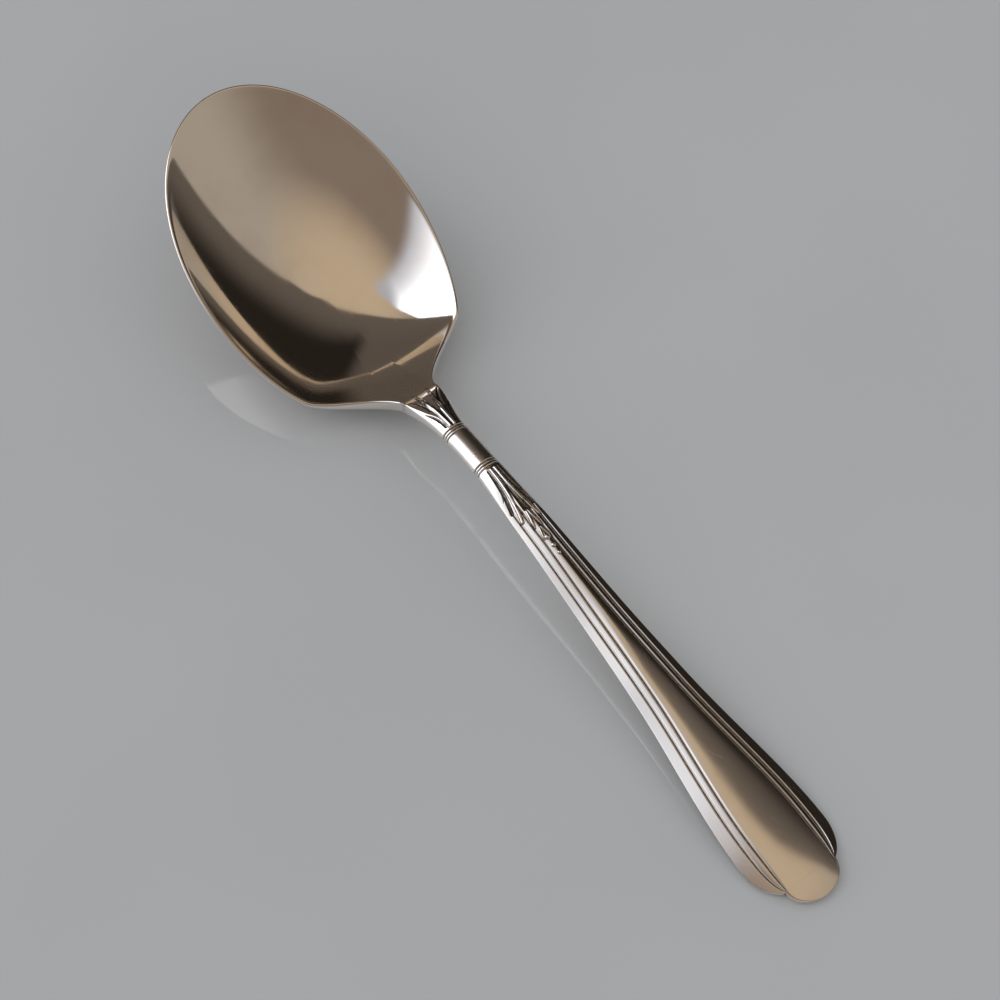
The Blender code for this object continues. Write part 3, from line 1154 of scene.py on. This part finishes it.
@dataclass
class Handle:
    """The reeded handle from the second ring band to the tongue at its end.

    The struck stem and gap end on lines of the border, so strokes() finds how far across.
    """

    neck: Neck
    name: str = "handle_silver"
    node: str = "handle"
    flare: float = 0.055
    waist_at: float = 0.0422
    waist_width: float = 0.0092
    waist_flare: float = 0.085
    hip_from_waist: float = 0.0270
    hip_width: float = 0.0147
    corner_length: float = 0.0058
    tongue_width: float = 0.0089
    corner_turn: float = 0.93
    tongue_length: float = 0.0034
    tip_flat: float = 0.0008
    tip_slope: float = -0.09
    tip_height: float = 0.0005
    peak: float = 0.0016
    panel_slope: float = 0.17
    ridge_slope: float = 0.45
    ridge_softness: float = 0.25
    ridge_ends: Plan = (0.022, 0.040)
    roll_slopes: Plan = (0.42, 0.20)
    roll_fade: Plan = (0.048, 0.062)
    roll_power: float = 6.0
    border_slopes: Plan = (0.44, 0.56)
    end_length: float = 0.018
    end_drop: float = 0.0012
    end_power: float = 4.2
    edge: float = 0.00075
    tip_edge: float = 0.00025
    tip_edge_power: float = 3.0
    tuck: float = 0.93
    back: float = 0.0003
    end_reach: float = 0.0100
    formed_at: float = 0.0450
    round_edge: float = 0.0003
    flat_power: float = 5.0
    round_power: float = 0.5
    roof_softness: float = 0.10
    roof_from: float = 0.012
    bevel_at_neck: float = 0.00055
    bevel_at_hip: float = 0.0017
    bevel_shares: tuple[float, ...] = (0.0, 0.08, 0.3, 0.65, 0.96)
    reed_width: float = 0.00062
    reed_rise: float = 0.00006
    reed_shares: tuple[float, ...] = (0.08, 0.5, 0.92)
    groove_width: float = 0.00048
    groove_depth: float = 0.00026
    groove_form: tuple[Plan, ...] = ((0.0, 0.0), (0.42, 1.0), (0.58, 1.0), (1.0, 0.0))
    groove_ends: Plan = (0.0062, 0.0095)
    least_panel: float = 0.0005
    notch_border: float = 0.0003
    back_shares: tuple[float, ...] = (0.25, 0.5, 0.75, 0.93, 1.0)
    panel_shares: tuple[float, ...] = (0.97, 0.72, 0.46, 0.23)
    sprig_length: float = 0.0190
    sprig_steps: int = 48
    blade_steps: int = 30
    corner_steps: int = 12
    tongue_steps: int = 9
    notch_step: float = 0.00012
    levels: int = 2
    wear_passes: int = 2
    band: RingBand = RingBand()
    finish: SilverFinish = SilverFinish(
        polish=0.15, smudge=0.06, scratch_roughness=0.10, scratch_depth=0.07
    )
    stem: Stroke = Stroke(
        start=(0.0012, 0.00034), bend=(0.0062, 0.00030), end=(0.0105, 0.0),
        widths=(0.00044, 0.00056, 0.00044), height=0.00022,
    )
    gap: Stroke = Stroke(
        start=(0.0012, 0.00086), bend=(0.0050, 0.00084), end=(0.0085, 0.0),
        widths=(0.00024, 0.00072, 0.00052), height=-0.00020,
    )
    heart: Stroke = Stroke(
        start=(0.0016, 0.0), bend=(0.0058, 0.0), end=(0.0092, 0.0),
        widths=(0.00016, 0.00040, 0.00080), height=-0.00016,
    )
    leaf: Stroke = Stroke(
        start=(0.0034, 0.0010), bend=(0.0052, 0.0011), end=(0.0064, 0.0018),
        widths=(0.00030, 0.00026, 0.00010), height=-0.00012,
    )
    petal: Stroke = Stroke(
        start=(0.0094, 0.00012), bend=(0.0110, 0.0003), end=(0.0124, 0.00056),
        widths=(0.00018, 0.00066, 0.00016), height=0.00020,
    )
    bud: Stroke = Stroke(
        start=(0.0127, 0.00012), bend=(0.0137, 0.00032), end=(0.0146, 0.00052),
        widths=(0.00016, 0.00050, 0.00014), height=0.00018,
    )
    beads: tuple[Plan, ...] = ((0.0145, 0.00080), (0.0160, 0.00068), (0.0174, 0.00054))
    bead_run: float = 0.00004
    bead_rise: float = 0.00026

    @property
    def hip_at(self) -> float:
        """The widest place, from the second ring band."""
        return self.waist_at + self.hip_from_waist

    @property
    def notch_at(self) -> float:
        """Where the tongue starts, from the second ring band."""
        return self.hip_at + self.corner_length

    @property
    def length(self) -> float:
        """The handle's length."""
        return self.notch_at + self.tongue_length

    @property
    def start_x(self) -> float:
        """The middle of the second ring band, along the spoon."""
        return self.neck.joint_x + self.neck.length

    @property
    def round_high(self) -> float:
        """How far the round start rises over its edge."""
        return self.neck.thickness / 2 - self.round_edge / 2

    def formed(self, x: float) -> float:
        """How far the section at x has gone from the round start to the blade."""
        return smooth(x / self.formed_at)

    def axis_height(self, x: float) -> float:
        """Follow the axis from the neck over the bend to the tip.

        Args:
            x: Place along the handle, from the second ring band.

        Returns:
            The height of the axis there.
        """
        neck = self.neck
        from_bend = x + neck.length - neck.bend_at
        if from_bend < 0:
            return neck.axis_height(x + neck.length)
        run = neck.length + self.length - neck.bend_at
        line = Sweep(neck.bend_height, neck.bend_slope, self.tip_height, self.tip_slope, run)
        return line.at(from_bend)

    def half_width(self, x: float) -> float:
        """Follow the outline from the neck over the waist and the hip to the tip.

        Args:
            x: Place along the handle.

        Returns:
            Half the width there.
        """
        neck, waist, hip = self.neck.width / 2, self.waist_width / 2, self.hip_width / 2
        if x < self.waist_at:
            return Sweep(neck, self.flare, waist, self.waist_flare, self.waist_at).at(x)
        if x < self.hip_at:
            line = Sweep(waist, self.waist_flare, hip, 0.0, self.hip_from_waist)
            return line.at(x - self.waist_at)
        if x < self.notch_at:
            least = math.sqrt(1 - self.corner_turn**2)
            turn = math.sqrt(1 - ((x - self.hip_at) / self.corner_length * self.corner_turn) ** 2)
            return mix(self.tongue_width / 2, hip, (turn - least) / (1 - least))
        turn = math.sqrt(max(0.0, 1 - ((x - self.notch_at) / self.tongue_length) ** 2))
        return max(self.tongue_width * turn, self.tip_flat) / 2

    def border_width(self, x: float) -> float:
        """Add up bevel, grooves and reed: full to the hip, then drawn in to the notch.

        Args:
            x: Place along the handle.

        Returns:
            The border's width there.
        """
        half = self.half_width(x)
        reeds = self.reed_width + 2 * self.groove_width
        if x < self.hip_at:
            bevel = mix(self.bevel_at_neck, self.bevel_at_hip, x / self.hip_at)
            return min(bevel + reeds, half - self.least_panel)
        if x < self.notch_at:
            hip_panel = self.hip_width / 2 - self.bevel_at_hip - reeds
            end_panel = self.tongue_width / 2 - self.notch_border
            return half - mix(hip_panel, end_panel, (x - self.hip_at) / self.corner_length)
        return self.notch_border * half / (self.tongue_width / 2)

    def border_lines(self, x: float) -> list[Plan]:
        """Set out the border at full size.

        Args:
            x: Place along the handle.

        Returns:
            Distances from the edge, each with its depth below the surface.
        """
        bevel = mix(self.bevel_at_neck, self.bevel_at_hip, min(x / self.hip_at, 1.0))
        formed = ramped(x, self.groove_ends)
        depth, rise = self.groove_depth * formed, self.reed_rise * formed
        groove = [(self.groove_width * share, depth * cut) for share, cut in self.groove_form]
        reed = bevel + self.groove_width
        lines = [(bevel * share, 0.0) for share in self.bevel_shares]
        lines += [(bevel + across, cut) for across, cut in groove]
        lines += [(reed + self.reed_width * share, -rise) for share in self.reed_shares]
        return lines + [(reed + self.reed_width + across, cut) for across, cut in groove]

    def top_stations(self, x: float) -> list[Plan]:
        """Set out the upper surface from the edge to the middle.

        Args:
            x: Place along the handle.

        Returns:
            Distances from the axis, each with its depth below the surface.
        """
        half, border = self.half_width(x), self.border_width(x)
        lines = self.border_lines(x)
        scale = border / lines[-1][0]
        stations = [(half - across * scale, cut * min(scale, 1.0)) for across, cut in lines]
        return stations + [((half - border) * share, 0.0) for share in self.panel_shares]

    def fall(self, x: float, y: float) -> float:
        """Add up how panel, border and end fall away from the blade's highest line.

        Args:
            x: Place along the handle.
            y: Place across it.

        Returns:
            How far the upper surface lies below that line.
        """
        there = min(x, self.hip_at)
        border = self.border_width(there)
        panel = self.half_width(there) - border
        share = min(abs(y) / panel, 1.0)
        power = self.roll_power + 1
        rolled = mix(*self.roll_slopes, ramped(x, self.roll_fade)) * share**power / power
        ridged = self.ridge_slope * ridge_fall(share, self.ridge_softness)
        flat = self.panel_slope * share**2 / 2
        across = panel * (mix(ridged, flat, ramped(x, self.ridge_ends)) + rolled)
        out = max(abs(y) - panel, 0.0)
        inner, outer = self.border_slopes
        across += out * (inner + (outer - inner) * out / (2 * border))
        past = max(x - self.length + self.end_length, 0.0) / self.end_length
        return across + self.end_drop * past**self.end_power

    def top(self, x: float, y: float) -> float:
        """Follow the upper surface, round at first, then a roof, then the blade.

        Args:
            x: Place along the handle.
            y: Place across it.

        Returns:
            The height there.
        """
        out = min(abs(y) / self.half_width(x), 1.0)
        oval = math.sqrt(1 - out**2)
        roof = 1 - ridge_fall(out, self.roof_softness) / ridge_fall(1.0, self.roof_softness)
        form = mix(oval, roof, smooth(x / self.roof_from))
        rounded = self.round_edge / 2 + self.round_high * form
        return self.axis_height(x) + mix(rounded, self.peak - self.fall(x, y), self.formed(x))

    def back_share(self, x: float, y: float) -> float:
        """How far out a place on the back lies, with the end rounded off.

        Args:
            x: Place along the handle.
            y: Place across it.

        Returns:
            The share, from 0 in the middle to 1 at the edge.
        """
        if x < self.hip_at:
            return min(abs(y) / self.half_width(x), 1.0)
        along = (x - self.hip_at) / self.end_reach
        return min(math.hypot(y / (self.hip_width / 2), along), 1.0)

    def bottom(self, x: float, y: float) -> float:
        """Follow the back, round at first, then flat with rounded edges.

        Args:
            x: Place along the handle.
            y: Place across it.

        Returns:
            The height there.
        """
        oval = max(0.0, 1 - (y / self.half_width(x)) ** 2) ** self.round_power
        rounded = self.round_edge / 2 + self.round_high * oval
        past = max(x - self.hip_at, 0.0) / (self.length - self.hip_at)
        edge = mix(self.edge, self.tip_edge, past**self.tip_edge_power)
        full = (1 - self.back_share(x, y) ** self.flat_power) ** self.round_power
        return self.axis_height(x) - mix(rounded, edge + self.back * full, self.formed(x))

    def section(self, x: float, cut: float = 0.0) -> Ring:
        """The handle's section, round at the neck and bladed further on.

        Args:
            x: Place along the handle.
            cut: Depth below the surface, all round.

        Returns:
            The ring of points, from the +Y edge over the top.
        """
        half, middle = self.half_width(x), self.axis_height(x)
        tuck = mix(1.0, self.tuck, self.formed(x))
        edge = (self.top(x, half) + self.bottom(x, half)) / 2
        upper = [(y, self.top(x, y) - depth) for y, depth in self.top_stations(x)]
        lower = [(half * share * tuck, self.bottom(x, half * share)) for share in self.back_shares]
        ring = upper + [(0.0, self.top(x, 0.0))]
        ring += [(-y, z) for y, z in reversed(upper)] + [(-half, edge)]
        ring += [(-y, z) for y, z in reversed(lower)] + [(0.0, self.bottom(x, 0.0))]
        ring += lower + [(half, edge)]
        share = 1 - 2 * cut / self.neck.thickness
        return [(self.start_x + x, y * share, middle + (z - middle) * share) for y, z in ring]

    def border_line(self, x: float, from_edge: float) -> float:
        """How far a line of the border, given from the edge at full size, lies from the axis."""
        return self.half_width(x) - from_edge * self.border_width(x) / self.border_lines(x)[-1][0]

    def strokes(self) -> list[Stroke]:
        """Lay out the sprig at the start: stems that become the reeds, leaves and beads.

        Returns:
            The strokes, counted from the second ring band.
        """
        groove = self.bevel_at_neck * self.bevel_shares[-1]
        joins = (
            (self.stem, groove + self.groove_width + self.reed_width / 2),
            (self.gap, groove + self.groove_width / 2),
        )
        strokes = [self.heart]
        for stroke, from_edge in joins:
            x = stroke.end[0]
            strokes += replace(stroke, end=(x, self.border_line(x, from_edge))).pair()
        for stroke in (self.leaf, self.petal, self.bud):
            strokes += stroke.pair()
        for x, size in self.beads:
            line = ((x, 0.0), (x + self.bead_run / 2, 0.0), (x + self.bead_run, 0.0))
            strokes.append(Stroke(*line, (size, size, size), self.bead_rise, steps=1))
        return strokes

    def stations(self) -> list[float]:
        """Set out the handle after the ring band, more closely where its shape turns.

        Returns:
            Places along the handle.
        """
        sprig = between(self.band.stations()[-1][0], self.sprig_length, self.sprig_steps)
        blade = between(self.sprig_length, self.hip_at, self.blade_steps)
        corner = eased(self.hip_at, self.corner_length, self.corner_steps)
        notch = [self.notch_at - self.notch_step, self.notch_at, self.notch_at + self.notch_step]
        tongue = eased(self.notch_at, self.tongue_length, self.tongue_steps)
        return sprig + blade + corner[:-1] + notch + tongue

    def build(self) -> bpy.types.Object:
        """Model the handle from the second ring band to its tip.

        Returns:
            The finished piece.
        """
        rings = [self.section(x, cut) for x, cut in self.band.stations()]
        rings += [self.section(x) for x in self.stations()]
        cage = Cage(self.name, rings[0])
        cage.add_rings(rings[1:])
        cage.close_flat()
        piece = cage.finish(self.levels)
        skin = Skin(piece)
        skin.rest_on(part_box(self.node)[0].z)
        skin.strike(self.strokes(), self.start_x)
        skin.mark_wear(self.wear_passes)
        dress(piece, self.finish, self.node)
        return piece


@dataclass
class Studio:
    """The table, the room's soft light, the window and the camera."""

    azimuth: float = math.radians(53.5)
    elevation: float = math.radians(60.0)
    distance: float = 0.3837
    target: Point = (-0.00008, -0.0002, 0.005)
    lens: float = 93.6
    sensor: float = 36.0
    clip_start: float = 0.01
    table_size: float = 12.0
    table_roughness: float = 0.06
    table_clouds: Grain = Grain(0.012, 2.0)
    table_patches: Plan = (0.3, 0.7)
    window_side: float = math.radians(264.0)
    window_softness: Point = (-0.06, 0.05, 0.52)
    window_head: Point = (0.985, 0.95, 0.88)
    window_end: Plan = (0.89, 0.84)
    shade_way: Point = (-0.79, 0.61, 0.0)
    shade_along: Point = (0.61, 0.79, 0.0)
    shade_turn: Plan = (-0.03, -0.84)
    shade_shift: float = 0.20
    shade_edge: Plan = (0.115, 0.15)
    shade_depth: Plan = (0.20, 0.55)
    shade_lit: Plan = (0.02, -0.16)
    shade_lift: float = 0.85
    ceiling: Plan = (0.70, 1.0)
    far_side: Plan = (-0.4, 0.5)

    def build_camera(self) -> None:
        """Place the camera at the photograph's angle."""
        across, up = math.cos(self.elevation), math.sin(self.elevation)
        turned = (math.sin(self.azimuth), -math.cos(self.azimuth))
        back = Vector((turned[0] * across, turned[1] * across, up))
        bpy.ops.object.select_all(action="DESELECT")
        bpy.ops.object.camera_add(location=Vector(self.target) + back * self.distance)
        camera = bpy.context.object
        camera.name = "camera"
        camera.rotation_euler = back.to_track_quat("Z", "Y").to_euler()
        camera.data.lens = self.lens
        camera.data.sensor_width = self.sensor
        camera.data.clip_start = self.clip_start
        bpy.context.scene.camera = camera

    def build_table(self) -> None:
        """Lay a plain table with a faint gloss under the spoon."""
        bpy.ops.object.select_all(action="DESELECT")
        bpy.ops.mesh.primitive_plane_add(size=self.table_size)
        table = bpy.context.object
        table.name = "table"
        material = bpy.data.materials.new("table_top")
        material.use_nodes = True
        sheet = NodeSheet(material.node_tree, "ShaderNodeOutputMaterial")
        patches = sheet.noise(sheet.millimetres(), self.table_clouds).ramp(*self.table_patches)
        colour = sheet.blend(patches, Tone.TABLE, Tone.TABLE_CLOUD)
        inputs = {"Base Color": colour, "Roughness": self.table_roughness}
        sheet.finish(sheet.node("ShaderNodeBsdfPrincipled", {}, inputs))
        table.data.materials.append(material)

    def add_window(self, room: Signal, way: Signal, height: Signal, offset: Signal) -> Signal:
        """Open a window in the room.

        Args:
            room: The room's colour.
            way: The direction in the room.
            height: How far the direction points up.
            offset: How far it points into the shade.

        Returns:
            The colour with the window.
        """
        sheet = room.sheet
        facing = (math.sin(self.window_side), -math.cos(self.window_side), 0.0)
        side = sheet.towards(way, facing)
        above, head, clear = self.window_head
        outside, jamb, inside = self.window_softness
        bright = height.ramp(head, clear) * side.ramp(outside, inside)
        pane = sheet.blend(bright, Tone.WINDOW_HEAD, Tone.WINDOW)
        end = (height + offset).ramp(*self.window_end)
        opening = side.ramp(outside, jamb) * height.ramp(above, head) * end
        return sheet.blend(opening, room, pane)

    def add_shade(self, room: Signal, along: Signal, offset: Signal) -> Signal:
        """Put one side of the room in shade.

        Args:
            room: The room's colour.
            along: How far the direction in the room points along the shade.
            offset: How far it points into the shade.

        Returns:
            The colour with the shade.
        """
        sheet = room.sheet
        lit = along.ramp(*self.shade_lit) * self.shade_lift
        deep = offset.ramp(*self.shade_depth) * (1.0 - lit)
        shade = sheet.blend(deep, Tone.HALF_SHADE, Tone.SHADE)
        return sheet.blend(offset.ramp(*self.shade_edge), room, shade)

    def build_room(self) -> None:
        """Light the room softly: a pale ceiling, plain walls, a window and one side in shade."""
        world = bpy.data.worlds.new("room")
        bpy.context.scene.world = world
        world.use_nodes = True
        sheet = NodeSheet(world.node_tree, "ShaderNodeOutputWorld")
        way = sheet.node("ShaderNodeTexCoord", output="Generated")
        height, across = (
            sheet.node("ShaderNodeSeparateXYZ", {}, {0: way}, axis) for axis in ("Z", "Y")
        )
        walls = sheet.blend(across.ramp(*self.far_side), Tone.NEAR_WALL, Tone.FAR_WALL)
        room = sheet.blend(height.ramp(*self.ceiling), walls, Tone.CEILING)
        along = sheet.towards(way, self.shade_along)
        shift = along.ramp(*self.shade_turn) * self.shade_shift
        offset = sheet.towards(way, self.shade_way) - shift
        room = self.add_window(room, way, height, offset)
        room = self.add_shade(room, along, offset)
        diffuse = sheet.node("ShaderNodeLightPath", output="Is Diffuse Ray")
        lit = sheet.blend(diffuse, room, Tone.FILL)
        sheet.finish(sheet.node("ShaderNodeBackground", {}, {"Color": lit, "Strength": 1.0}))

    def build(self) -> None:
        """Set up the camera, the table and the light."""
        self.build_camera()
        self.build_table()
        self.build_room()
        bpy.context.scene.view_settings.view_transform = "Standard"


def main() -> None:
    """Build the studio and the spoon's three pieces."""
    logging.basicConfig(level=logging.INFO, format="%(name)s: %(message)s")
    LOG.info("frame with %d nodes", len(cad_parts))
    Studio().build()
    bowl = Bowl()
    neck = Neck(bowl.centre_x + bowl.joint_at, bowl.joint_height)
    bowl.build()
    neck.build()
    Handle(neck).build()


if __name__ == "__main__":
    main()
